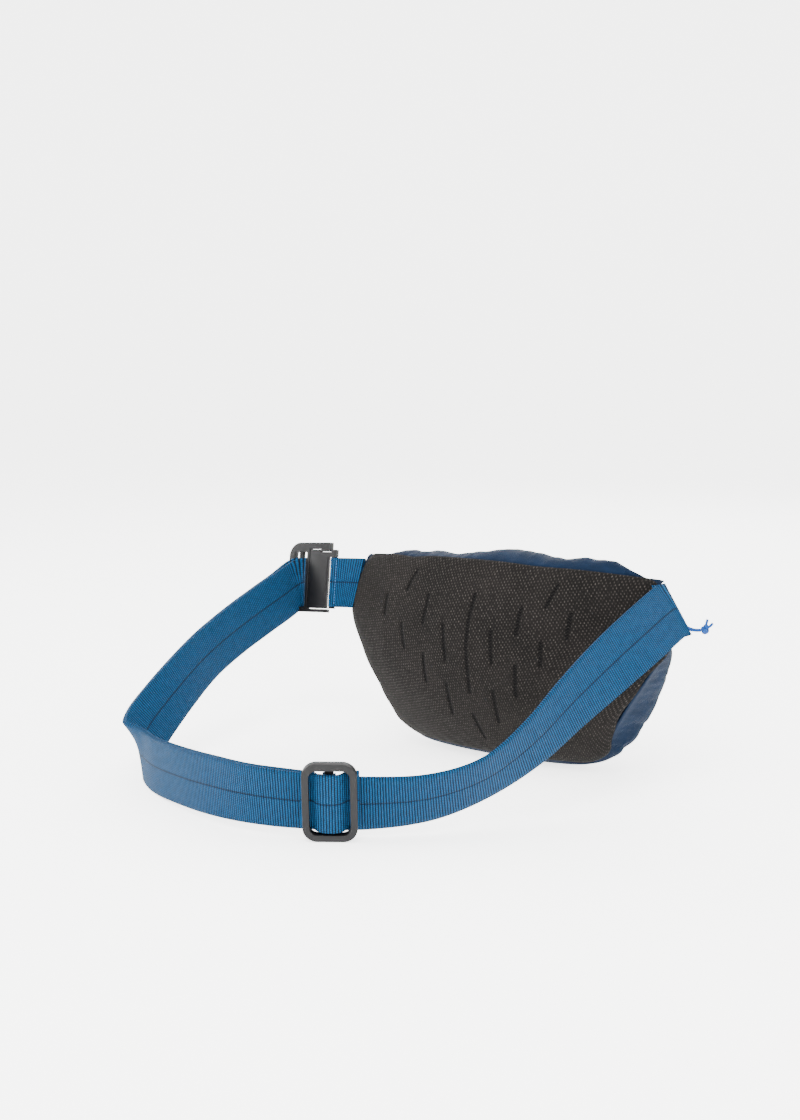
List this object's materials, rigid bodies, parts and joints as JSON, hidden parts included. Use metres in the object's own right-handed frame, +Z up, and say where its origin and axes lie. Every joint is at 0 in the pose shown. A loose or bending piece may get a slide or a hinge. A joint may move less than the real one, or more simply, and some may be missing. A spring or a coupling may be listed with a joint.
{
  "type": "waist pack",
  "caption": "Small hip pack with a padded mesh back, arc zip and webbing belt with tri-glide and quick-release buckle, belt laid round in a loop.",
  "frame": {"origin": "middle of the flat patch under the pouch, on the surface it stands on", "axes": "+Z up, +Y the way the pack's front faces, away from the wearer, +X to the right as seen from the wearer's side"},
  "size_m": [0.3492, 0.2834, 0.152],
  "materials": {
    "mesh_knit": "black spacer knit with fine light specks",
    "foam": "closed-cell foam, hidden",
    "lining_cloth": "thin coated lining, hidden",
    "shell_nylon": "slate blue plain-woven nylon",
    "webbing": "blue woven webbing with fine cross ribs",
    "zip_tape": "woven zip tape",
    "zip_coil": "moulded nylon coil",
    "slider_metal": "dark painted die casting",
    "cord": "bright blue braided cord",
    "hardware": "dark grey moulded plastic, fine texture"
  },
  "bodies": {
    "pack": {"back_panel_mesh": "mesh_knit", "back_panel_foam": "foam", "back_panel_lining": "lining_cloth", "pouch_shell": "shell_nylon", "wing_gussets": "shell_nylon", "zip_tape_lower": "zip_tape", "zip_tape_ends": "zip_tape", "zip_coil_lower": "zip_coil", "zip_end_stops": "zip_coil", "belt_right_run": "webbing", "belt_floor_run_right": "webbing", "belt_floor_run_left": "webbing", "belt_return_floor_run": "webbing", "belt_far_bend": "webbing", "belt_return_far_bend": "webbing", "belt_upper_run": "webbing", "belt_return_upper_run": "webbing", "belt_right_anchor": "webbing", "buckle_receiver": "hardware", "buckle_web_bar": "hardware", "belt_buckle_loop": "webbing"},
    "flap": {"top_flap": "shell_nylon", "zip_tape_upper": "zip_tape", "zip_coil_upper": "zip_coil"},
    "slider": {"zip_slider": "slider_metal"},
    "pull": {"zip_pull_tab": "slider_metal", "zip_pull_cord_front": "cord", "zip_pull_cord_back": "cord", "zip_pull_knot": "cord"},
    "glide": {"tri_glide": "hardware", "belt_end_loop": "webbing", "belt_bridge": "webbing"},
    "insert": {"buckle_insert": "hardware", "short_strap": "webbing"}
  },
  "joints": [
    {"name": "flap_open", "type": "hinge", "parent": "pack", "child": "flap", "pos_m": [0, -0.025, 0.149], "axis": [1, 0, 0], "range_deg": [0, 65]},
    {"name": "zip_travel", "type": "hinge", "parent": "pack", "child": "slider", "pos_m": [0, -0.203, 0.122], "axis": [0, 0, 1], "range_deg": [0, 56.4]},
    {"name": "pull_flip", "type": "hinge", "parent": "slider", "child": "pull", "pos_m": [0.11105, 0.00411, 0.122], "axis": [0, 0, 1], "range_deg": [-15, 140]},
    {"name": "glide_travel", "type": "hinge", "parent": "pack", "child": "glide", "pos_m": [-0.0596, -0.1153, 0.026], "axis": [0, 0, 1], "range_deg": [-9, 0]},
    {"name": "buckle_release", "type": "hinge", "parent": "pack", "child": "insert", "pos_m": [-0.1295, -0.0115, 0.1185], "axis": [-0.07, 0.2001, 0.9773], "range_deg": [0, 60]}
  ]
}
